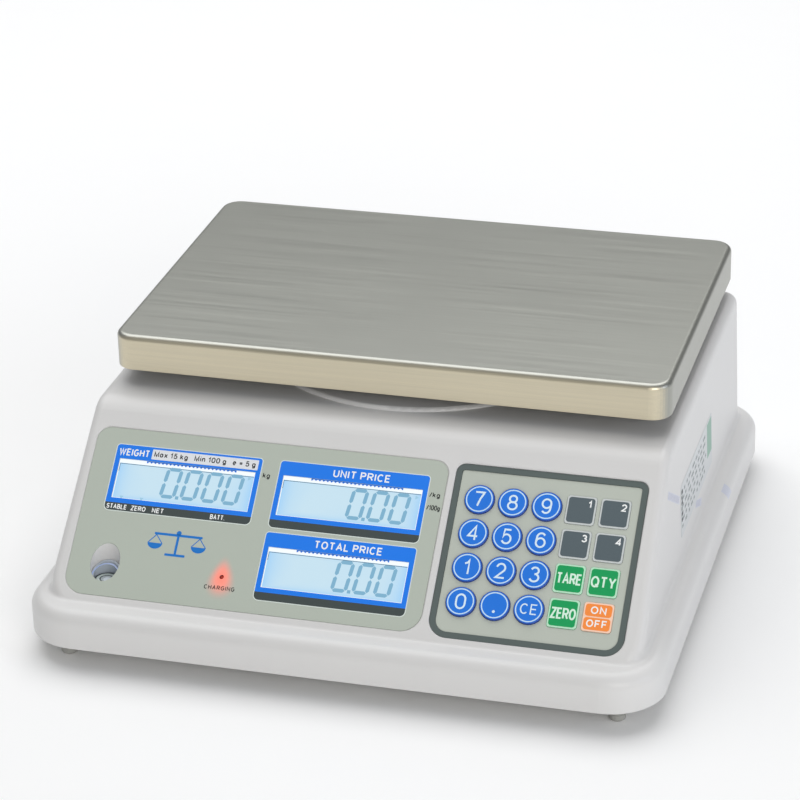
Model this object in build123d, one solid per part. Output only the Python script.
"""Counter-top retail price-computing scale, as separate pieces with working fits.

Frame: millimetres, +Z up, the operator's side faces -Y, +X is the operator's right.
The origin is the centre of the base outline, on the surface that the feet stand on.
"""
import os
from math import cos, radians, sin, tan

from build123d import *

# ---------------------------------------------------------------- overall sizes
base_width = 334.6  # across the skirt
base_depth = 328.0  # front to back of the skirt
body_top_z = 107.0  # flat top of the cover
skirt_bottom_z = 11.1  # lower edge of the skirt above the table
skirt_top_z = 31.0  # ledge that runs round the body
base_corner_r = 29.0
skirt_round_r = 7.0

# ---------------------------------------------------------------- top cover
wall = 2.5
side_ledge = 10.8  # skirt beyond the body, left and right
rear_ledge = 15.0
front_ledge = 14.6  # skirt beyond the foot of the panel
side_draft_deg = 1.9
body_front_r = 18.0
body_rear_r = 12.0
edge_round_r = 5.0
brow_round_r = 17.0  # soft edge between the top and the panel
panel_nose = 2.5  # blunt foot of the body ahead of the panel
ledge_fillet_r = 3.0
panel_tilt_deg = 42.17
plateau_r = 92.0  # raised round land under the pan
plateau_rise = 2.0
plateau_ahead = 7.0  # its centre is this far ahead of the pan's centre
plateau_round = 1.8
skirt_clearance = 0.4  # tray to skirt
cut_over = 0.5  # how far a cutter runs past the wall

# ---------------------------------------------------------------- operator's display film
panel_margin = 15.7  # virtual top edge of the panel to the films
film_side_margin = 5.8
film_width = 191.0
film_height = 93.1
film_thickness = 0.5
film_recess = 0.8
film_top_r = 7.5
film_bottom_r = 11.0
film_gap = 0.25  # film to the edge of its recess
recess_lip = 0.5  # chamfer round the film's and the keypad's recess
view_width = 74.5  # clear part of one window
view_height = 22.0
view_left = 2.6
view_down = 7.8
weight_window = (12.5, 9.2)  # from the film's upper left corner, across and down
unit_price_window = (102.2, 9.1)
total_price_window = (102.2, 48.6)
led_place = (83.4, 75.4)
level_place = (19.9, 74.1)
led_r = 1.5
led_hole_r = 1.7
led_film_hole_r = 1.2
led_flange = 0.3  # the lamp's foot beyond its lens
led_flange_height = 1.0

# ---------------------------------------------------------------- display modules
glass_margin = 0.7  # glass beyond the clear window
glass_gap = 0.5  # glass to the edge of the wall's cut-out
glass_below_film = 0.2
module_back_depth = 8.8  # panel surface to the display board
module_margin = 2.4  # backlight block beyond the glass
glass_overlap = 0.1  # backlight block below the wall's inner face
board_thickness = 1.6
board_hole_gap = 0.1
board_film_inset = (2.5, 2.0)  # display board inside the film's outline
board_post_inset = (6.0, 5.0)
board_post_from_led = 34.0
board_notch = (70.0, 80.0)  # corner left out of the display board for the level
board_notch_shift = 20.0
driver_chip = (16.0, 10.0, 2.0)

# ---------------------------------------------------------------- keypad
keypad_side_margin = 7.5
keypad_top_r = 5.0
keypad_bottom_r = 10.0
keypad_recess = 1.6
bezel_width = 3.3
bezel_height = 1.0
membrane_thickness = 0.6
membrane_gap = 0.15
keypad_gap = 0.25
keypad_shelf = 4.5  # ledge in the cover that carries bezel and membrane
keypad_post_inset = 0.6
keypad_board_grow = 2.0
keypad_plug = (18.0, 5.0, 5.0)
key_columns = 5
key_rows = 4
key_pitch_x = 17.5
key_pitch_y = 18.39
key_left_margin = 14.7  # keypad's left edge to the first column's centre
key_right_margin = 15.3
key_top_margin = 18.8
key_low_margin = 19.73
round_key_r = 7.8
square_key = 15.2
square_key_r = 1.6
round_key_rise = 1.2
square_key_rise = 0.45
round_key_edge = 0.45
square_key_edge = 0.2
key_gap = 0.2  # key to the edge of its hole
key_flange = 0.5  # retaining flange beyond the cap
key_flange_height = 1.0
key_flange_gap = 0.15
key_travel = 0.4
key_stem_r = 2.5
key_stem_length = 1.6
dome_r = 4.5
dome_top_r = 1.8
dome_height = 0.45
dome_clearance = 0.12  # fully pressed key to its dome
key_names = (
    ("7", "8", "9", "memory_1", "memory_2"),
    ("4", "5", "6", "memory_3", "memory_4"),
    ("1", "2", "3", "tare", "quantity"),
    ("0", "point", "ce", "zero", "on_off"),
)
round_columns = 3

# ---------------------------------------------------------------- spirit level
well_r = 7.9
well_wall = 1.6
cup_r = 7.6
cup_bore_r = 6.6
cup_rear_z = 43.5
cup_front_z = 36.5
vial_r = 6.5
vial_height = 7.0
vial_top_z = 36.3
level_post_r = 6.0
level_floor = 3.0  # cup's floor under the vial
vial_edge = 0.5

# ---------------------------------------------------------------- tray and feet
tray_floor = 2.5
tray_rim_height = 9.0
tray_rim_wall = 2.0
foot_side_inset = 22.3  # foot axis in from the skirt's side
foot_end_inset = 16.0  # foot axis in from the skirt's front and rear
foot_boss_r = 8.0
foot_boss_top_z = 21.5
stud_r = 3.0
stud_clearance = 0.05
stud_top_z = 24.0
knob_r = 8.0
knob_low_z = 7.6
knob_high_z = 10.5
knob_flutes = 12
knob_flute_r = 1.1
foot_tip_r = 4.3
foot_tip_height = 3.6
foot_tip_round = 1.3
foot_pin_r = 1.6
foot_pin_length = 2.2
foot_neck_gap = 0.1  # stud's neck above the rubber tip
foot_neck_top_r = 6.0
foot_neck_low_r = 4.1
stud_chamfer = 0.8
knob_flute_out = 0.3  # flute centres beyond the knob's edge

# ---------------------------------------------------------------- fasteners
screw_r = 1.9
screw_head_r = 3.6
screw_head_height = 2.4
screw_tip_z = 25.5
screw_pilot_gap = 0.05
screw_hole_gap = 0.2
screw_head_gap = 0.3
screw_head_sunk = 0.6  # head above the tray's lower face
screw_slot = (4.8, 0.8, 1.0)  # cross recess: length, width and depth
screw_boss_r = 4.5
screw_pad_top_z = 18.0
screw_side_inset = 17.0
screw_end_inset = 17.5
screw_side_rows = (-62.0, 96.0)
screw_front_x = 38.0
small_screw_r = 1.4
small_screw_head_r = 2.6
small_screw_head_height = 1.6
small_screw_length = 4.2
small_post_r = 3.2

# ---------------------------------------------------------------- weighing gear
pan_width = 300.0
pan_depth = 198.0
pan_top_z = 135.6
pan_rim = 19.4
pan_sheet = 1.0
pan_corner_r = 11.0
pan_fold_r = 3.0
pan_rear_overhang = 1.35
cushion_r = 8.0
cushion_height = 4.0
cushion_x = 118.0
cushion_y = 70.0
spider_bottom_z = 112.0
spider_plate = (128.0, 52.0, 8.0)
spider_arm_width = 16.0
spider_arm_height = 7.0
spider_post_r = 10.0
spider_rib = 4.0
cast_corner_r = 8.0
cushion_stem_r = 3.2
cushion_stem = 4.0
cushion_stem_gap = 0.05
cell_length = 130.0
cell_width = 30.0
cell_height = 22.0
cell_top_gap = 9.0  # cell top below the cover's top
cell_bolt_x = 50.0
cell_bolt_pitch = 15.0
cell_bolt_r = 3.0
cell_bolt_gap = 0.15
cell_bolt_head_r = 5.0
cell_bolt_head_height = 6.0
cell_bolt_socket = 2.9
cell_bolt_bite = 13.2  # spider bolts into the cell
bracket_bolt_bite = 14.0  # cell bolts into the bracket
cell_edge = 1.0
cell_lobe_x = 13.0
thread_gap = 0.02
cell_lobe_r = 7.5
spider_boss = (34.0, 28.0)
spider_boss_r = 4.0
boss_hole = 46.0  # square opening in the cover round the spider's boss
boss_hole_r = 8.0
bracket_plate = (170.0, 74.0, 5.0)
bracket_column = (40.0, 34.0)
bracket_rib = (6.0, 22.0)
stop_column = 18.0
stop_screw_bite = 13.0
stop_gap = 0.5
stop_screw_r = 3.0
stop_nut_r = 5.0
stop_nut_height = 4.0
stop_screw_out = 9.0
bracket_screw_x = 75.0
bracket_screw_y = 28.0
bracket_screw_head = 1.0  # depth of the screw seats in the tray
bracket_screw_bite = 4.5

# ---------------------------------------------------------------- electronics
battery = (47.0, 101.0, 70.0)
battery_corner = (-148.0, -46.0)
battery_gap = 0.4
battery_rib = 2.0
battery_rib_height = 8.0
battery_rib_length = 30.0
terminal = (6.0, 1.0, 5.0)
terminal_inset = (8.0, 6.0)
strap_thickness = 1.0
strap_width = 14.0
strap_foot = 12.0
strap_pad_height = 3.0
strap_pad_r = 4.5
main_board_size = (58.0, 120.0)
main_board_corner = (90.0, -30.0)
main_board_z = 22.0
main_board_screw_inset = 5.0
board_blocks = (  # left, right, front and rear from the board's corner, and height
    (12.0, 30.0, 16.0, 34.0, 2.0),  # processor
    (34.0, 48.0, 18.0, 26.0, 1.8),  # memory
    (10.0, 46.0, 84.0, 112.0, 14.0),  # charging transformer
    (4.0, 11.0, 44.0, 64.0, 7.0),  # load-cell socket
    (46.0, 54.0, 50.0, 70.0, 7.0),  # display socket
)
board_cans = (  # across, along, height and radius
    (30.0, 52.0, 8.0, 7.0),
    (24.0, 72.0, 12.0, 5.0),
    (38.0, 74.0, 12.0, 5.0),
)
jack_x = -96.0
jack_z = 40.5
jack_body = (11.0, 14.0, 11.0)
jack_barrel_r = 4.6
jack_bore_r = 2.9
jack_pin_r = 1.0
jack_collar_r = 5.9
jack_collar = 1.6
jack_bore_depth = 6.5
jack_neck = 3.0  # barrel behind the wall
jack_wall_gap = 1.0
jack_hole_gap = 0.1
cable_r = 2.2
cable_start_x = -22.0
cable_socket = (8.0, 54.0, 7.0)  # its plug on the main board, from the corner and above the board

# ---------------------------------------------------------------- customer's display
customer_film = (268.0, 44.0)
customer_film_z = 73.5
customer_pitch = 87.0
customer_recess = 0.8
customer_corner_r = 4.0
customer_board_inset = (4.0, 8.0)  # board smaller than the film

# ---------------------------------------------------------------- derived places
draft = radians(side_draft_deg)  # lean of the side and rear walls
half_width = base_width / 2
half_depth = base_depth / 2
body_height = body_top_z - skirt_top_z
body_half_width = half_width - side_ledge
top_half_width = body_half_width - body_height * tan(draft)
body_rear_y = half_depth - rear_ledge
panel_foot_y = -half_depth + front_ledge
brow_y = panel_foot_y + body_height / tan(radians(panel_tilt_deg))
panel_plane = Plane(
    origin=(0, brow_y, body_top_z),
    x_dir=(1, 0, 0),
    z_dir=(0, -sin(radians(panel_tilt_deg)), cos(radians(panel_tilt_deg))),
)
pan_y = body_rear_y + pan_rear_overhang - pan_depth / 2
film_left = -top_half_width + film_side_margin
keypad_width = key_left_margin + (key_columns - 1) * key_pitch_x + key_right_margin
keypad_height = key_top_margin + (key_rows - 1) * key_pitch_y + key_low_margin
keypad_left = top_half_width - keypad_side_margin - keypad_width
cell_top_z = body_top_z - cell_top_gap
cell_bottom_z = cell_top_z - cell_height
tray_top_z = skirt_bottom_z + tray_floor
bracket_seat_z = skirt_bottom_z + bracket_screw_head
rear_plane = Plane(
    origin=(0, body_rear_y - (customer_film_z - skirt_top_z) * tan(draft), customer_film_z),
    x_dir=(-1, 0, 0),
    z_dir=(0, cos(draft), sin(draft)),
)
jack_place = (-jack_x, (jack_z - customer_film_z) / cos(draft))  # on the rear plane
view_windows = (weight_window, unit_price_window, total_price_window)
foot_places = {
    "front_left": (-half_width + foot_side_inset, -half_depth + foot_end_inset),
    "front_right": (half_width - foot_side_inset, -half_depth + foot_end_inset),
    "rear_left": (-half_width + foot_side_inset, half_depth - foot_end_inset),
    "rear_right": (half_width - foot_side_inset, half_depth - foot_end_inset),
}
screw_places = [(sx * (half_width - screw_side_inset), y) for sx in (-1, 1) for y in screw_side_rows]
screw_places += [(sx * screw_front_x, -half_depth + screw_end_inset) for sx in (-1, 1)]


# ---------------------------------------------------------------- helpers
def block(x0, x1, y0, y1, z0, z1):
    """Box between two corners, square to the frame."""
    return Pos((x0 + x1) / 2, (y0 + y1) / 2, (z0 + z1) / 2) * Box(x1 - x0, y1 - y0, z1 - z0)


def rod(x, y, z0, z1, r):
    """Upright cylinder from z0 to z1."""
    return Pos(x, y, (z0 + z1) / 2) * Cylinder(r, z1 - z0)


def rounded_outline(x0, x1, y0, y1, low_r, high_r):
    """Flat rectangle with one radius at its low-y corners and another at its high-y corners."""
    face = Pos((x0 + x1) / 2, (y0 + y1) / 2) * Rectangle(x1 - x0, y1 - y0)
    face = fillet(face.vertices().group_by(Axis.Y)[0], low_r)
    return fillet(face.vertices().group_by(Axis.Y)[-1], high_r)


def on_panel(face, low, high):
    """Solid on the sloping panel, from low to high above its surface."""
    return extrude(panel_plane.offset(low) * face, high - low)


def on_rear(face, low, high):
    """Solid on the rear wall, from low to high above its surface."""
    return extrude(rear_plane.offset(low) * face, high - low)


def film_outline(shrink):
    """Outline of the display film, on the panel."""
    return rounded_outline(
        film_left + shrink,
        film_left + film_width - shrink,
        -panel_margin - film_height + shrink,
        -panel_margin - shrink,
        film_bottom_r - shrink,
        film_top_r - shrink,
    )


def keypad_outline(shrink):
    """Outline of the keypad, on the panel."""
    return rounded_outline(
        keypad_left + shrink,
        keypad_left + keypad_width - shrink,
        -panel_margin - keypad_height + shrink,
        -panel_margin - shrink,
        max(keypad_bottom_r - shrink, 1.0),
        max(keypad_top_r - shrink, 1.0),
    )


def film_point(across, down):
    """Panel coordinates of a place measured from the film's upper left corner."""
    return film_left + across, -panel_margin - down


def view_centre(window):
    """Panel coordinates of the middle of a window's clear part."""
    return film_point(window[0] + view_left + view_width / 2, window[1] + view_down + view_height / 2)


def view_face(window, grow):
    """Clear part of a window, grown all round."""
    return Pos(*view_centre(window)) * Rectangle(view_width + 2 * grow, view_height + 2 * grow)


def key_centre(column, row):
    """Panel coordinates of one key."""
    x = keypad_left + key_left_margin + column * key_pitch_x
    return x, -panel_margin - key_top_margin - row * key_pitch_y


def key_outline(column, row, grow):
    """Outline of one key's cap, grown all round."""
    if column < round_columns:
        face = Circle(round_key_r + grow)
    else:
        side = square_key + 2 * grow
        face = RectangleRounded(side, side, square_key_r + grow)
    return Pos(*key_centre(column, row)) * face


def key_places():
    """Every key as name, column and row."""
    return [(key_names[r][c], c, r) for r in range(key_rows) for c in range(key_columns)]


def level_axis():
    """X and Y of the spirit level's upright axis."""
    u, s = film_point(*level_place)
    point = panel_plane.from_local_coords((u, s, 0))
    return point.X, point.Y


def small_screw(plane, u, s, low):
    """Pan-head screw, threaded upward from low along a plane's normal, its head below."""
    high = small_screw_head_height
    shank = Pos(u, s, low + small_screw_length / 2) * Cylinder(small_screw_r, small_screw_length)
    head = Pos(u, s, low - high / 2) * Cylinder(small_screw_head_r, high)
    return plane * (shank + head)


# ---------------------------------------------------------------- housing
def body_block(inset, rounded):
    """Sloping body above the skirt, shrunk by inset on every face."""
    low_z = skirt_bottom_z
    spread = (skirt_top_z - low_z) * tan(draft)
    low_half = body_half_width + spread - inset
    front = -half_depth + front_ledge - panel_nose + inset
    rear = body_rear_y + spread - inset
    plan = rounded_outline(-low_half, low_half, front, rear, body_front_r - inset, body_rear_r - inset)
    height = body_top_z - inset - low_z
    plan_block = extrude(Plane.XY.offset(low_z) * plan, height, taper=side_draft_deg)
    slope = tan(radians(panel_tilt_deg))
    lower = inset / cos(radians(panel_tilt_deg))  # the panel's own inset, measured upright
    top = body_top_z - inset
    brow = brow_y + (top - body_top_z + lower) / slope
    toe = panel_foot_y - (skirt_top_z - low_z) / slope + lower / slope
    side = Polyline((toe, low_z), (brow, top), (rear + wall, top), (rear + wall, low_z), close=True)
    wedge = extrude(Plane.YZ * make_face(side), low_half + wall, both=True)
    solid = plan_block & wedge
    if rounded:
        brow_edge = [e for e in solid.edges() if is_long(e) and e.center().Z > top - 1]
        brow_edge = [min(brow_edge, key=lambda e: e.center().Y)]
        solid = fillet(brow_edge, brow_round_r)
        rim = [e for e in solid.edges() if is_upper_rim(e, low_z)]
        solid = fillet(rim, edge_round_r)
    return solid


def is_long(edge):
    """True for an edge that runs most of the way across the body."""
    return edge.bounding_box().size.X > body_half_width


def is_upper_rim(edge, low_z):
    """True for the edges where the top and the panel meet the side and rear walls."""
    box = edge.bounding_box()
    across = is_long(edge) and edge.center().Y < 0
    upright = box.size.Z > body_height / 2 and box.size.Y < body_height / 10
    low = box.max.Z < low_z + 0.1
    return not (across or upright or low)


def skirt_block(inset):
    """Skirt round the foot of the body, shrunk by inset."""
    outline = RectangleRounded(base_width - 2 * inset, base_depth - 2 * inset, base_corner_r - inset)
    height = skirt_top_z - inset - skirt_bottom_z
    solid = extrude(Plane.XY.offset(skirt_bottom_z) * outline, height)
    return fillet(solid.edges().group_by(Axis.Z)[-1], skirt_round_r - inset)


def housing_shell():
    """Outer skin of the cover with its cavity, before openings."""
    outer = body_block(0, True) + skirt_block(0)
    ledge = [e for e in outer.edges() if abs(e.center().Z - skirt_top_z) < 0.01 and is_ledge_corner(e)]
    outer = fillet(ledge, ledge_fillet_r)
    plateau = rod(0, pan_y - plateau_ahead, body_top_z - wall, body_top_z + plateau_rise, plateau_r)
    plateau = fillet(plateau.edges().group_by(Axis.Z)[-1], plateau_round)
    under_top_z = body_top_z - wall + plateau_rise
    under_plateau = rod(0, pan_y - plateau_ahead, body_top_z - 2 * wall, under_top_z, plateau_r - wall)
    cavity = body_block(wall, False) + skirt_block(wall)
    return outer, outer + plateau - cavity - under_plateau


def is_ledge_corner(edge):
    """True for the inner corner between the ledge and the body."""
    box = edge.bounding_box()
    inside_x = max(abs(box.min.X), abs(box.max.X)) < half_width - skirt_round_r - 1.5
    inside_y = box.max.Y < half_depth - skirt_round_r - 1.5 and box.min.Y > -half_depth + skirt_round_r + 1.5
    return inside_x and inside_y


def cover_screw_bosses(outer):
    """Bosses that the housing screws bite into."""
    bosses = [rod(x, y, screw_pad_top_z, body_top_z, screw_boss_r) for x, y in screw_places]
    return [(boss & outer) & skirt_ceiling() for boss in bosses]


def skirt_ceiling():
    """Space that the screw bosses may fill: below the ledge, inside the skirt."""
    return block(-half_width, half_width, -half_depth, half_depth, skirt_bottom_z, skirt_top_z - 1.0)


def board_posts(points, top, bottom, radius):
    """Posts on the panel's underside, from top down to bottom."""
    return [on_panel(Pos(u, s) * Circle(radius), bottom, top) for u, s in points]


def keypad_board_points():
    """Screw points of the keypad board."""
    inset = keypad_post_inset
    left = keypad_left + inset
    right = keypad_left + keypad_width - inset
    high = -panel_margin - inset
    low = -panel_margin - keypad_height + inset
    return [(left, high), (right, high), (left, low), (right, low)]


def display_board_points():
    """Screw points of the display board."""
    side, end = board_post_inset
    left, high = film_point(side, end)
    right, low = film_point(film_width - end, film_height - end)
    middle = film_left + led_place[0] - board_post_from_led
    return [(left, high), (right, high), (middle, low), (right, low)]


def customer_windows():
    """Centres of the customer's three windows on the rear wall."""
    return [(i * customer_pitch, 0) for i in (-1, 0, 1)]


def make_top_cover():
    """Cover: sloping body and skirt in one moulding."""
    outer, cover = housing_shell()
    level_x, level_y = level_axis()
    well_low_z = vial_top_z - vial_height - level_floor - 1
    well = rod(level_x, level_y, well_low_z, body_top_z, well_r + well_wall) & outer
    cover = cover + well
    for boss in cover_screw_bosses(outer):
        cover = cover + boss
    for post in board_posts(keypad_board_points(), -wall, keypad_board_top(), small_post_r):
        cover = cover + post
    for post in board_posts(display_board_points(), -wall, -module_back_depth, small_post_r):
        cover = cover + post
    cover = cover - rod(level_x, level_y, skirt_bottom_z, body_top_z, well_r)
    cover = cover - on_panel(film_outline(0), -film_recess, wall) - recess_chamfer(film_outline(0))
    cover = cover - on_panel(keypad_outline(0), -keypad_recess, wall) - recess_chamfer(keypad_outline(0))
    cover = cover - on_panel(keypad_outline(keypad_shelf), -wall - cut_over, 0)
    for window in view_windows:
        cover = cover - on_panel(view_face(window, glass_margin + glass_gap), -wall - cut_over, 0)
    cover = cover - on_panel(Pos(*film_point(*led_place)) * Circle(led_hole_r), -wall - cut_over, 0)
    hole = Pos(cell_bolt_x, pan_y) * RectangleRounded(boss_hole, boss_hole, boss_hole_r)
    cover = cover - extrude(Plane.XY.offset(cell_top_z) * hole, spider_bottom_z - cell_top_z)
    for x, y in screw_places:
        cover = cover - rod(x, y, screw_pad_top_z, screw_tip_z + 0.3, screw_r + screw_pilot_gap)
    for plane_hole in board_screw_holes():
        cover = cover - plane_hole
    cover = cover - on_rear(RectangleRounded(*customer_film, customer_corner_r), -customer_recess, wall)
    for centre in customer_windows():
        grow = 2 * (glass_margin + glass_gap)
        size = (view_width + grow, view_height + grow)
        cover = cover - on_rear(Pos(*centre) * Rectangle(*size), -wall - cut_over, 0)
    cover = cover - on_rear(Pos(*jack_place) * Circle(jack_barrel_r + jack_hole_gap), -2 * wall, wall)
    return cover


def recess_chamfer(outline):
    """Cutter that takes the sharp edge off a recess in the panel."""
    return extrude(panel_plane.offset(-recess_lip) * outline, 2 * recess_lip, taper=-45)


def board_screw_holes():
    """Pilot holes in the posts behind the two operator's boards."""
    holes = []
    depth = small_screw_length - board_thickness + 0.2
    for u, s in keypad_board_points():
        face = Pos(u, s) * Circle(small_screw_r + screw_pilot_gap)
        holes.append(on_panel(face, keypad_board_top() - 0.1, keypad_board_top() + depth))
    for u, s in display_board_points():
        face = Pos(u, s) * Circle(small_screw_r + screw_pilot_gap)
        holes.append(on_panel(face, -module_back_depth - 0.1, -module_back_depth + depth))
    return holes


def make_base_tray():
    """Tray that closes the housing from below and carries everything inside."""
    inset = wall + skirt_clearance
    outline = RectangleRounded(base_width - 2 * inset, base_depth - 2 * inset, base_corner_r - inset)
    inner_inset = inset + tray_rim_wall
    inner_size = (base_width - 2 * inner_inset, base_depth - 2 * inner_inset)
    inner = RectangleRounded(*inner_size, base_corner_r - inner_inset)
    tray = extrude(Plane.XY.offset(skirt_bottom_z) * outline, tray_rim_height)
    tray = tray - extrude(Plane.XY.offset(tray_top_z) * inner, tray_rim_height)
    for x, y in foot_places.values():
        tray = tray + rod(x, y, skirt_bottom_z, foot_boss_top_z, foot_boss_r) & tray_envelope(inset)
    for x, y in screw_places:
        tray = tray + rod(x, y, skirt_bottom_z, screw_pad_top_z, screw_boss_r + 1.5) & tray_envelope(inset)
    for x, y in foot_places.values():
        tray = tray - rod(x, y, skirt_bottom_z, foot_boss_top_z, stud_r + stud_clearance)
    for x, y in screw_places:
        tray = tray - rod(x, y, skirt_bottom_z, screw_pad_top_z, screw_r + screw_hole_gap)
        head_top_z = skirt_bottom_z + screw_head_sunk + screw_head_height
        tray = tray - rod(x, y, skirt_bottom_z, head_top_z, screw_head_r + screw_head_gap)
    for x, y in main_board_points():
        tray = tray + rod(x, y, tray_top_z, main_board_z, small_post_r)
        pilot_r = small_screw_r + screw_pilot_gap
        tray = tray - rod(x, y, main_board_z - small_screw_length, main_board_z, pilot_r)
    for x, y in bracket_points():
        tray = tray - rod(x, y, skirt_bottom_z, tray_top_z, screw_r + screw_hole_gap)
        tray = tray - rod(x, y, skirt_bottom_z, bracket_seat_z, screw_head_r + screw_head_gap)
    level_x, level_y = level_axis()
    tray = tray + rod(level_x, level_y, tray_top_z, vial_top_z - vial_height - level_floor, level_post_r)
    for x, y in strap_points():
        tray = tray + rod(x, y, tray_top_z, tray_top_z + strap_pad_height, strap_pad_r)
        pad_top_z = tray_top_z + strap_pad_height
        tray = tray - rod(x, y, skirt_bottom_z + 1.0, pad_top_z, small_screw_r + screw_pilot_gap)
    for rail in battery_rails():
        tray = tray + rail
    return tray


def tray_envelope(inset):
    """Space that the tray may fill inside the skirt."""
    outline = RectangleRounded(base_width - 2 * inset, base_depth - 2 * inset, base_corner_r - inset)
    return extrude(Plane.XY.offset(skirt_bottom_z) * outline, body_top_z)


def battery_rails():
    """Low ribs round the battery's foot."""
    x0, y0 = battery_corner
    x1, y1 = x0 + battery[0], y0 + battery[1]
    out = battery_gap + battery_rib
    high_z = tray_top_z + battery_rib_height
    near, far = y0 + battery_rib_length, y1 - battery_rib_length
    sides = [(x0 - out, x0 - battery_gap), (x1 + battery_gap, x1 + out)]
    rails = [block(*side, *run, tray_top_z, high_z) for side in sides for run in ((y0, near), (far, y1))]
    ends = [(y0 - out, y0 - battery_gap), (y1 + battery_gap, y1 + out)]
    return rails + [block(x0, x1, *end, tray_top_z, high_z) for end in ends]


def make_housing_screws():
    """Self-tapping screws that hold the cover to the tray."""
    low = skirt_bottom_z + screw_head_sunk
    half_long, half_wide, deep = screw_slot[0] / 2, screw_slot[1] / 2, screw_slot[2]
    screws = []
    for x, y in screw_places:
        head = rod(x, y, low, low + screw_head_height, screw_head_r)
        slot = block(x - half_long, x + half_long, y - half_wide, y + half_wide, low, low + deep)
        cross = block(x - half_wide, x + half_wide, y - half_long, y + half_long, low, low + deep)
        shank = rod(x, y, low + screw_head_height, screw_tip_z, screw_r)
        screws.append(head + shank - slot - cross)
    return screws


# ---------------------------------------------------------------- operator's display
def make_display_overlay():
    """Printed film with three clear windows, a level hole and a lamp hole."""
    low = -film_recess
    film = on_panel(film_outline(film_gap), low, low + film_thickness)
    for window in view_windows:
        film = film - on_panel(view_face(window, 0), low, low + film_thickness)
    film = film - on_panel(Pos(*film_point(*led_place)) * Circle(led_film_hole_r), low, low + film_thickness)
    level_x, level_y = level_axis()
    return film - rod(level_x, level_y, skirt_bottom_z, body_top_z, well_r)


def display_module(face_of, place):
    """Glass and backlight block of one display, from its own window outline."""
    glass_top = -film_recess - glass_below_film
    glass = place(face_of(glass_margin), -wall - 2 * glass_overlap, glass_top)
    block_face = face_of(glass_margin + module_margin)
    return glass + place(block_face, -module_back_depth, -wall - glass_overlap)


def make_view_module(window):
    """Display module behind one operator's window."""
    return display_module(lambda grow: view_face(window, grow), on_panel)


def make_display_board():
    """Circuit board behind the three operator's displays."""
    side, end = board_film_inset
    left, high = film_point(side, end)
    right, low = film_point(film_width - end, film_height - end)
    face = Pos((left + right) / 2, (low + high) / 2) * Rectangle(right - left, high - low)
    top = -module_back_depth
    board = on_panel(face, top - board_thickness, top)
    u, s = film_point(*level_place)
    notch = Pos(u - board_notch_shift, s - board_notch_shift) * Rectangle(*board_notch)
    board = board - on_panel(notch, top - 2 * board_thickness, top)
    for u, s in display_board_points():
        hole = Pos(u, s) * Circle(small_screw_r + board_hole_gap)
        board = board - on_panel(hole, top - 2 * board_thickness, top)
    chip_width, chip_height, chip_thickness = driver_chip
    driver = Pos(*film_point(film_width / 2, film_height / 5)) * Rectangle(chip_width, chip_height)
    return board + on_panel(driver, top - board_thickness - chip_thickness, top - board_thickness)


def make_charge_led():
    """Charging lamp on the display board, just under the film."""
    centre = Pos(*film_point(*led_place))
    dome_low = -film_recess - glass_below_film - led_r
    flange_top = -module_back_depth + led_flange_height
    body = on_panel(centre * Circle(led_r), -module_back_depth, dome_low)
    cap = panel_plane * (Pos(*film_point(*led_place), dome_low) * Sphere(led_r))
    flange = on_panel(centre * Circle(led_r + led_flange), -module_back_depth, flange_top)
    return body + cap + flange


# ---------------------------------------------------------------- keypad
def membrane_top():
    """Upper face of the keypad membrane above the panel's surface."""
    return -keypad_recess + membrane_thickness


def key_flange_top():
    """Upper face of a key's retaining flange."""
    return -keypad_recess - key_flange_gap


def key_stem_bottom():
    """Lower end of a key's stem."""
    return key_flange_top() - key_flange_height - key_stem_length


def keypad_board_top():
    """Upper face of the keypad board."""
    return key_stem_bottom() - key_travel - dome_clearance - dome_height


def make_keypad_bezel():
    """Dark frame round the keypad."""
    ring = keypad_outline(keypad_gap) - keypad_outline(bezel_width)
    return on_panel(ring, -keypad_recess, -keypad_recess + bezel_height)


def make_keypad_overlay():
    """Printed membrane with one hole for each key."""
    sheet = keypad_outline(bezel_width + membrane_gap)
    for _, column, row in key_places():
        sheet = sheet - key_outline(column, row, key_gap)
    return on_panel(sheet, -keypad_recess, membrane_top())


def make_key(column, row):
    """One key: cap, retaining flange and stem."""
    rise = round_key_rise if column < round_columns else square_key_rise
    edge = round_key_edge if column < round_columns else square_key_edge
    cap = on_panel(key_outline(column, row, 0), key_flange_top(), membrane_top() + rise)
    cap = fillet(cap.faces().sort_by(Axis(panel_plane.origin, panel_plane.z_dir))[-1].edges(), edge)
    flange_low = key_flange_top() - key_flange_height
    flange = on_panel(key_outline(column, row, key_flange), flange_low, key_flange_top())
    stem_face = Pos(*key_centre(column, row)) * Circle(key_stem_r)
    stem = on_panel(stem_face, key_stem_bottom(), flange_low)
    return cap + flange + stem


def make_keypad_board():
    """Circuit board under the keys."""
    grow = keypad_board_grow
    top = keypad_board_top()
    face = Pos(keypad_left + keypad_width / 2, -panel_margin - keypad_height / 2)
    face = face * Rectangle(keypad_width + 2 * grow, keypad_height + 2 * grow)
    board = on_panel(face, top - board_thickness, top)
    for u, s in keypad_board_points():
        hole = Pos(u, s) * Circle(small_screw_r + board_hole_gap)
        board = board - on_panel(hole, top - 2 * board_thickness, top)
    plug_width, plug_depth, plug_height = keypad_plug
    plug = Pos(*key_centre(2, 1)) * Rectangle(plug_width, plug_depth)
    return board + on_panel(plug, top - board_thickness - plug_height, top - board_thickness)


def make_snap_domes():
    """Metal domes on the keypad board, one under each key."""
    top = keypad_board_top()
    domes = []
    for _, column, row in key_places():
        u, s = key_centre(column, row)
        domes.append(panel_plane * (Pos(u, s, top + dome_height / 2) * Cone(dome_r, dome_top_r, dome_height)))
    return domes


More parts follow.
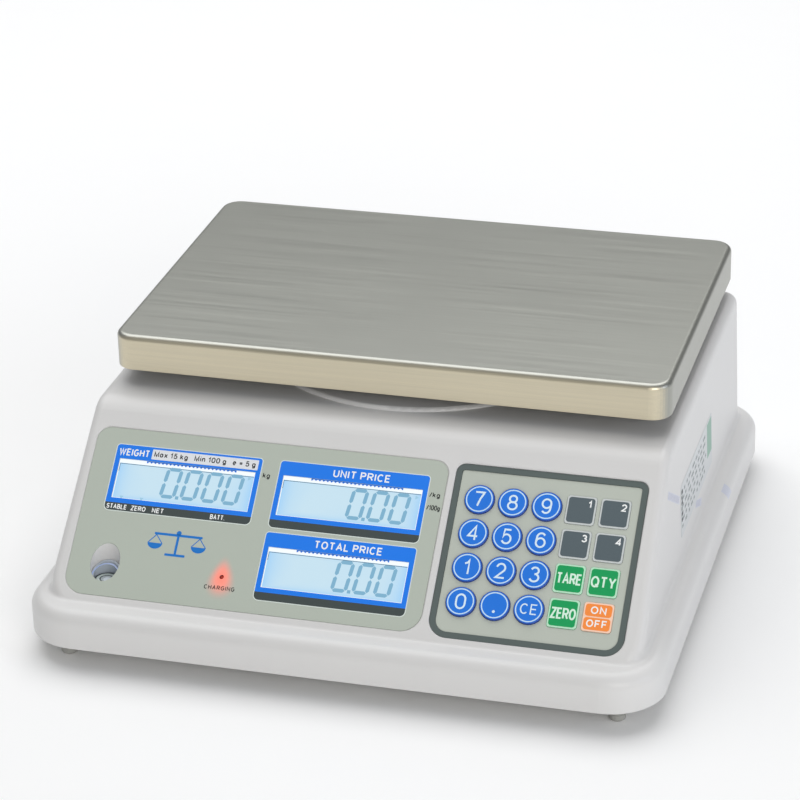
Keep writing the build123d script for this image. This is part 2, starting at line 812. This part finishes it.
# ---------------------------------------------------------------- spirit level
def make_level_cup():
    """Cup that holds the vial, with a rim that rises towards the rear."""
    x, y = level_axis()
    low = vial_top_z - vial_height - level_floor
    cup = rod(x, y, low, cup_rear_z, cup_r)
    slope = (y - cup_r, cup_front_z), (y + cup_r, cup_rear_z)
    cutter = Polyline(*slope, (y + cup_r, cup_rear_z + 20), (y - cup_r, cup_rear_z + 20), close=True)
    cup = cup - extrude(Plane.YZ.offset(x) * make_face(cutter), 2 * cup_r, both=True)
    return cup - rod(x, y, vial_top_z - vial_height, cup_rear_z, cup_bore_r)


def make_level_vial():
    """Round glass vial, with a slightly domed top."""
    x, y = level_axis()
    vial = rod(x, y, vial_top_z - vial_height, vial_top_z, vial_r)
    return chamfer(vial.edges().group_by(Axis.Z)[-1], vial_edge)


# ---------------------------------------------------------------- weighing gear
def make_platter():
    """Folded sheet-metal pan with a turned-down rim."""
    low = pan_top_z - pan_rim
    outer = extrude(Pos(0, pan_y, low) * RectangleRounded(pan_width, pan_depth, pan_corner_r), pan_rim)
    outer = fillet(outer.edges().group_by(Axis.Z)[-1], pan_fold_r)
    size = (pan_width - 2 * pan_sheet, pan_depth - 2 * pan_sheet)
    inner_face = RectangleRounded(*size, pan_corner_r - pan_sheet)
    inner = extrude(Pos(0, pan_y, low) * inner_face, pan_rim - pan_sheet)
    inner = fillet(inner.edges().group_by(Axis.Z)[-1], pan_fold_r - pan_sheet)
    return outer - inner


def cushion_places():
    """Centres of the four cushions under the pan."""
    return [(sx * cushion_x, pan_y + sy * cushion_y) for sx in (-1, 1) for sy in (-1, 1)]


def cushion_low_z():
    """Seat of the cushions on the spider."""
    return pan_top_z - pan_sheet - cushion_height


def make_pan_cushions():
    """Rubber buttons that the pan stands on."""
    low = cushion_low_z()
    buttons = []
    for x, y in cushion_places():
        button = rod(x, y, low, low + cushion_height, cushion_r)
        button = fillet(button.edges().group_by(Axis.Z)[-1], 1.0)
        buttons.append(button + rod(x, y, low - cushion_stem, low, cushion_stem_r))
    return buttons


def make_pan_spider():
    """Cast cross that carries the pan on the load cell's free end."""
    high = spider_bottom_z + spider_plate[2]
    plate = RectangleRounded(spider_plate[0], spider_plate[1], cast_corner_r)
    spider = extrude(Pos(0, pan_y, spider_bottom_z) * plate, spider_plate[2])
    reach = (cushion_x**2 + cushion_y**2) ** 0.5
    for x, y in cushion_places():
        turn = Vector(x, y - pan_y, 0).get_signed_angle(Vector(1, 0, 0), Vector(0, 0, -1))
        arm = Pos(0, pan_y, spider_bottom_z + spider_arm_height / 2) * Rot(0, 0, turn)
        spider = spider + arm * (Pos(reach / 2, 0, 0) * Box(reach, spider_arm_width, spider_arm_height))
        rib_top = (spider_bottom_z + spider_arm_height + cushion_low_z()) / 2
        rib_height = rib_top - spider_bottom_z
        rib = Pos(0, pan_y, spider_bottom_z + rib_height / 2) * Rot(0, 0, turn)
        spider = spider + rib * (Pos(reach * 0.72, 0, 0) * Box(reach * 0.5, spider_rib, rib_height))
        spider = spider + rod(x, y, spider_bottom_z, cushion_low_z(), spider_post_r)
    boss = Pos(cell_bolt_x, pan_y, cell_top_z) * RectangleRounded(*spider_boss, spider_boss_r)
    spider = spider + extrude(boss, spider_bottom_z - cell_top_z)
    for x in cell_bolt_xs(cell_bolt_x):
        spider = spider - rod(x, pan_y, cell_top_z, high, cell_bolt_r + screw_hole_gap)
    for x, y in cushion_places():
        socket_z = cushion_low_z() - cushion_stem - 0.2
        spider = spider - rod(x, y, socket_z, cushion_low_z(), cushion_stem_r + cushion_stem_gap)
    return spider


def cell_bolt_xs(centre):
    """The two bolt places at one end of the load cell."""
    return [centre - cell_bolt_pitch / 2, centre + cell_bolt_pitch / 2]


def make_spider_bolts():
    """Socket-head bolts from the spider into the cell's free end."""
    high = spider_bottom_z + spider_plate[2]
    bolts = []
    for x in cell_bolt_xs(cell_bolt_x):
        bolts.append(cap_bolt(x, pan_y, high, cell_top_z - cell_bolt_bite))
    return bolts


def cap_bolt(x, y, seat_z, tip_z):
    """Socket-head bolt with its head above seat_z."""
    head = rod(x, y, seat_z, seat_z + cell_bolt_head_height, cell_bolt_head_r)
    socket_face = Pos(x, y, seat_z + cell_bolt_head_height / 2) * RegularPolygon(cell_bolt_socket, 6)
    socket = extrude(socket_face, cell_bolt_head_height / 2)
    return head + rod(x, y, tip_z, seat_z, cell_bolt_r) - socket


def make_load_cell():
    """Aluminium beam with a double-lobed opening, bolted at its two ends."""
    beam = Pos(0, pan_y, (cell_top_z + cell_bottom_z) / 2) * Box(cell_length, cell_width, cell_height)
    beam = fillet(beam.edges().filter_by(Axis.X), cell_edge)
    middle = (cell_top_z + cell_bottom_z) / 2
    turned = Rot(90, 0, 0)
    for x in (-cell_lobe_x, cell_lobe_x):
        beam = beam - Pos(x, pan_y, middle) * turned * Cylinder(cell_lobe_r, cell_width + 2)
    beam = beam - Pos(0, pan_y, middle) * Box(2 * cell_lobe_x, cell_width + 2, cell_lobe_r)
    for x in cell_bolt_xs(-cell_bolt_x) + cell_bolt_xs(cell_bolt_x):
        beam = beam - rod(x, pan_y, cell_bottom_z, cell_top_z, cell_bolt_r + cell_bolt_gap)
    return beam


def bracket_points():
    """Screw points of the load-cell bracket in the tray."""
    return [(sx * bracket_screw_x, pan_y + sy * bracket_screw_y) for sx in (-1, 1) for sy in (-1, 1)]


def make_load_cell_bracket():
    """Cast bracket: foot plate, column for the fixed end and column for the overload stop."""
    length, width, thick = bracket_plate
    plate = extrude(Pos(0, pan_y, tray_top_z) * RectangleRounded(length, width, cast_corner_r), thick)
    column = Pos(-cell_bolt_x, pan_y, (tray_top_z + cell_bottom_z) / 2)
    bracket = plate + column * Box(bracket_column[0], bracket_column[1], cell_bottom_z - tray_top_z)
    stop_top = cell_bottom_z - stop_screw_out
    stop = Pos(cell_bolt_x, pan_y, (tray_top_z + stop_top) / 2)
    bracket = bracket + stop * Box(stop_column, stop_column, stop_top - tray_top_z)
    rib_high = tray_top_z + thick + bracket_rib[1]
    low_y, high_y = pan_y - bracket_rib[0] / 2, pan_y + bracket_rib[0] / 2
    bracket = bracket + block(-cell_bolt_x, cell_bolt_x, low_y, high_y, tray_top_z, rib_high)
    bolt_hole_z = cell_bottom_z - bracket_bolt_bite - 2
    for x in cell_bolt_xs(-cell_bolt_x):
        bracket = bracket - rod(x, pan_y, bolt_hole_z, cell_bottom_z, cell_bolt_r + thread_gap)
    stop_hole_z = stop_top - stop_screw_bite - 1
    bracket = bracket - rod(cell_bolt_x, pan_y, stop_hole_z, stop_top, stop_screw_r + thread_gap)
    for x, y in bracket_points():
        bracket = bracket - rod(x, y, tray_top_z, tray_top_z + thick, screw_r + thread_gap)
    return bracket


def make_load_cell_bolts():
    """Socket-head bolts from the cell's fixed end into the bracket."""
    tip_z = cell_bottom_z - bracket_bolt_bite
    return [cap_bolt(x, pan_y, cell_top_z, tip_z) for x in cell_bolt_xs(-cell_bolt_x)]


def make_overload_stop():
    """Screw and lock nut that the cell's free end meets at overload."""
    seat = cell_bottom_z - stop_screw_out
    screw = rod(cell_bolt_x, pan_y, seat - stop_screw_bite, cell_bottom_z - stop_gap, stop_screw_r)
    nut = extrude(Pos(cell_bolt_x, pan_y, seat) * RegularPolygon(stop_nut_r, 6), stop_nut_height)
    return screw + nut


# ---------------------------------------------------------------- feet
def make_foot_pad(x, y):
    """Rubber tip that stands on the table; the stud turns in it."""
    tip = rod(x, y, 0, foot_tip_height, foot_tip_r)
    tip = fillet(tip.edges().group_by(Axis.Z)[0], foot_tip_round)
    socket_low = foot_tip_height - foot_pin_length
    return tip - rod(x, y, socket_low - 0.1, foot_tip_height, foot_pin_r + stud_clearance)


def make_foot_stud(x, y):
    """Levelling stud: threaded shank, fluted knob, tapered neck and pivot pin."""
    shank = rod(x, y, knob_high_z, stud_top_z, stud_r)
    shank = chamfer(shank.edges().group_by(Axis.Z)[-1], stud_chamfer)
    knob = rod(x, y, knob_low_z, knob_high_z, knob_r)
    flute_ring = knob_r + knob_flute_out
    for i in range(knob_flutes):
        angle = radians(360 / knob_flutes * i)
        flute = (x + flute_ring * cos(angle), y + flute_ring * sin(angle))
        knob = knob - rod(*flute, knob_low_z, knob_high_z, knob_flute_r)
    neck_low = foot_tip_height + foot_neck_gap
    neck_middle = Pos(x, y, (neck_low + knob_low_z) / 2)
    neck = neck_middle * Cone(foot_neck_low_r, foot_neck_top_r, knob_low_z - neck_low)
    pin = rod(x, y, foot_tip_height - foot_pin_length, neck_low, foot_pin_r)
    return shank + knob + neck + pin


# ---------------------------------------------------------------- electronics
def main_board_points():
    """Screw points of the main board."""
    x0, y0 = main_board_corner
    inset = main_board_screw_inset
    xs = (x0 + inset, x0 + main_board_size[0] - inset)
    ys = (y0 + inset, y0 + main_board_size[1] - inset)
    return [(x, y) for x in xs for y in ys]


def make_main_board():
    """Main circuit board with its larger components."""
    x0, y0 = main_board_corner
    width, length = main_board_size
    top = main_board_z + board_thickness
    board = block(x0, x0 + width, y0, y0 + length, main_board_z, top)
    for left, right, front, rear, height in board_blocks:
        board = board + block(x0 + left, x0 + right, y0 + front, y0 + rear, top, top + height)
    for across, along, height, radius in board_cans:
        board = board + rod(x0 + across, y0 + along, top, top + height, radius)
    for x, y in main_board_points():
        board = board - rod(x, y, main_board_z, top, small_screw_r + board_hole_gap)
    return board


def make_inner_screws():
    """Screws of the circuit boards, the bracket and the battery strap."""
    screws = []
    for u, s in keypad_board_points():
        screws.append(small_screw(panel_plane, u, s, keypad_board_top() - board_thickness))
    for u, s in display_board_points():
        screws.append(small_screw(panel_plane, u, s, -module_back_depth - board_thickness))
    flipped = Plane(origin=(0, 0, main_board_z + board_thickness), x_dir=(1, 0, 0), z_dir=(0, 0, -1))
    for x, y in main_board_points():
        screws.append(small_screw(flipped, x, -y, 0))
    strap_seat = tray_top_z + strap_pad_height + strap_thickness
    for x, y in strap_points():
        head = rod(x, y, strap_seat, strap_seat + small_screw_head_height, small_screw_head_r)
        screws.append(head + rod(x, y, strap_seat - small_screw_length, strap_seat, small_screw_r))
    for x, y in bracket_points():
        head = rod(x, y, skirt_bottom_z + 0.1, bracket_seat_z, screw_head_r)
        screws.append(head + rod(x, y, bracket_seat_z, tray_top_z + bracket_screw_bite, screw_r))
    return screws


def make_battery():
    """Sealed lead-acid battery with two blade terminals."""
    x0, y0 = battery_corner
    width, length, height = battery
    case = block(x0, x0 + width, y0, y0 + length, tray_top_z, tray_top_z + height)
    case = fillet(case.edges().filter_by(Axis.Z), 2.0)
    blade_width, blade_thickness, blade_height = terminal
    side, front = terminal_inset
    case_top_z = tray_top_z + height
    y = y0 + front
    for x in (x0 + side, x0 + width - side - blade_width):
        case = case + block(x, x + blade_width, y, y + blade_thickness, case_top_z, case_top_z + blade_height)
    return case


def strap_points():
    """Screw points of the battery strap."""
    x0, y0 = battery_corner
    out = strap_foot - strap_pad_r
    return [(x0 - out, y0 + battery[1] / 2), (x0 + battery[0] + out, y0 + battery[1] / 2)]


def make_battery_strap():
    """Steel strap over the battery, with two turned-out feet."""
    x0, y0 = battery_corner
    width, length, height = battery
    gap = 0.1
    low_x, high_x = x0 - gap, x0 + width + gap
    y = y0 + length / 2
    top = tray_top_z + height + gap
    foot = tray_top_z + strap_pad_height
    t = strap_thickness
    half = strap_width / 2
    strap = block(low_x - t, high_x + t, y - half, y + half, top, top + t)
    strap = strap + block(low_x - t, low_x, y - half, y + half, foot, top)
    strap = strap + block(high_x, high_x + t, y - half, y + half, foot, top)
    strap = strap + block(low_x - strap_foot, low_x, y - half, y + half, foot, foot + t)
    strap = strap + block(high_x, high_x + strap_foot, y - half, y + half, foot, foot + t)
    for x, y in strap_points():
        strap = strap - rod(x, y, foot, foot + t, small_screw_r + board_hole_gap)
    return strap


def make_dc_jack():
    """Low-voltage supply socket in the rear wall."""
    centre = Pos(*jack_place)
    barrel = on_rear(centre * Circle(jack_barrel_r), -wall - jack_neck, jack_collar)
    collar = on_rear(centre * Circle(jack_collar_r), 0, jack_collar)
    width, depth, height = jack_body
    body_front = -wall - jack_wall_gap
    body = on_rear(centre * Rectangle(width, height), body_front - depth, body_front)
    jack = body + barrel + collar
    jack = jack - on_rear(centre * Circle(jack_bore_r), -wall - jack_bore_depth, jack_collar)
    return jack + on_rear(centre * Circle(jack_pin_r), -wall - jack_bore_depth - 0.5, 0)


def make_load_cell_cable():
    """Sheathed lead from the load cell's side to a socket on the main board."""
    x_end = main_board_corner[0] + cable_socket[0]
    y_end = main_board_corner[1] + cable_socket[1]
    z_end = main_board_z + board_thickness + cable_socket[2]
    start_z = (cell_top_z + cell_bottom_z) / 2
    y_out = pan_y - cell_width / 2
    points = [
        Vector(cable_start_x, y_out, start_z),
        Vector(cable_start_x, y_out - 22, start_z),
        Vector(2, y_out - 38, start_z - 12),
        Vector(38, y_out - 30, z_end + 24),
        Vector(x_end, y_end, z_end + 22),
        Vector(x_end, y_end, z_end),
    ]
    route = FilletPolyline(*points, radius=bend_radii(points))
    return sweep(Plane(origin=points[0], z_dir=(0, -1, 0)) * Circle(cable_r), path=route)


def bend_radii(points):
    """Largest easy bend at each corner of a route."""
    radii = []
    for before, corner, after in zip(points, points[1:], points[2:]):
        turn = radians((corner - before).get_angle(after - corner))
        run = min((corner - before).length, (after - corner).length)
        radii.append(0.45 * run / tan(turn / 2))
    return radii


# ---------------------------------------------------------------- customer's display
def make_customer_overlay():
    """Printed film on the rear wall with three clear windows."""
    width, height = customer_film
    face = RectangleRounded(width - 2 * film_gap, height - 2 * film_gap, customer_corner_r - film_gap)
    for centre in customer_windows():
        face = face - Pos(*centre) * Rectangle(view_width, view_height)
    return on_rear(face, -customer_recess, -customer_recess + film_thickness)


def make_customer_lcds():
    """Three display modules that face the customer."""
    modules = []
    for centre in customer_windows():

        def face_of(grow, centre=centre):
            return Pos(*centre) * Rectangle(view_width + 2 * grow, view_height + 2 * grow)

        modules.append(display_module(face_of, on_rear))
    return modules


def make_customer_board():
    """Circuit board behind the customer's displays."""
    face = Rectangle(customer_film[0] - customer_board_inset[0], customer_film[1] - customer_board_inset[1])
    return on_rear(face, -module_back_depth - board_thickness, -module_back_depth)


# ---------------------------------------------------------------- writing the pieces
def write(name, shape):
    """Write one node; a list becomes a group of separate solids."""
    if isinstance(shape, (list, tuple)):
        shape = Compound([solid for piece in shape for solid in piece.solids()])
    export_step(shape, f"parts/{name}.step")


def main():
    """Build every piece."""
    os.makedirs("parts", exist_ok=True)
    write("top_cover", make_top_cover())
    write("base_tray", make_base_tray())
    write("housing_screws", make_housing_screws())
    write("display_overlay", make_display_overlay())
    write("weight_lcd", make_view_module(weight_window))
    write("unit_price_lcd", make_view_module(unit_price_window))
    write("total_price_lcd", make_view_module(total_price_window))
    write("display_board", make_display_board())
    write("charge_led", make_charge_led())
    write("keypad_bezel", make_keypad_bezel())
    write("keypad_overlay", make_keypad_overlay())
    for name, column, row in key_places():
        write(f"key_{name}", make_key(column, row))
    write("keypad_board", make_keypad_board())
    write("snap_domes", make_snap_domes())
    write("level_cup", make_level_cup())
    write("level_vial", make_level_vial())
    write("platter", make_platter())
    write("pan_cushions", make_pan_cushions())
    write("pan_spider", make_pan_spider())
    write("spider_bolts", make_spider_bolts())
    write("load_cell", make_load_cell())
    write("load_cell_bracket", make_load_cell_bracket())
    write("load_cell_bolts", make_load_cell_bolts())
    write("overload_stop", make_overload_stop())
    for name, place in foot_places.items():
        write(f"foot_pad_{name}", make_foot_pad(*place))
        write(f"foot_stud_{name}", make_foot_stud(*place))
    write("main_board", make_main_board())
    write("inner_screws", make_inner_screws())
    write("battery", make_battery())
    write("battery_strap", make_battery_strap())
    write("dc_jack", make_dc_jack())
    write("load_cell_cable", make_load_cell_cable())
    write("customer_overlay", make_customer_overlay())
    write("customer_lcds", make_customer_lcds())
    write("customer_board", make_customer_board())


main()
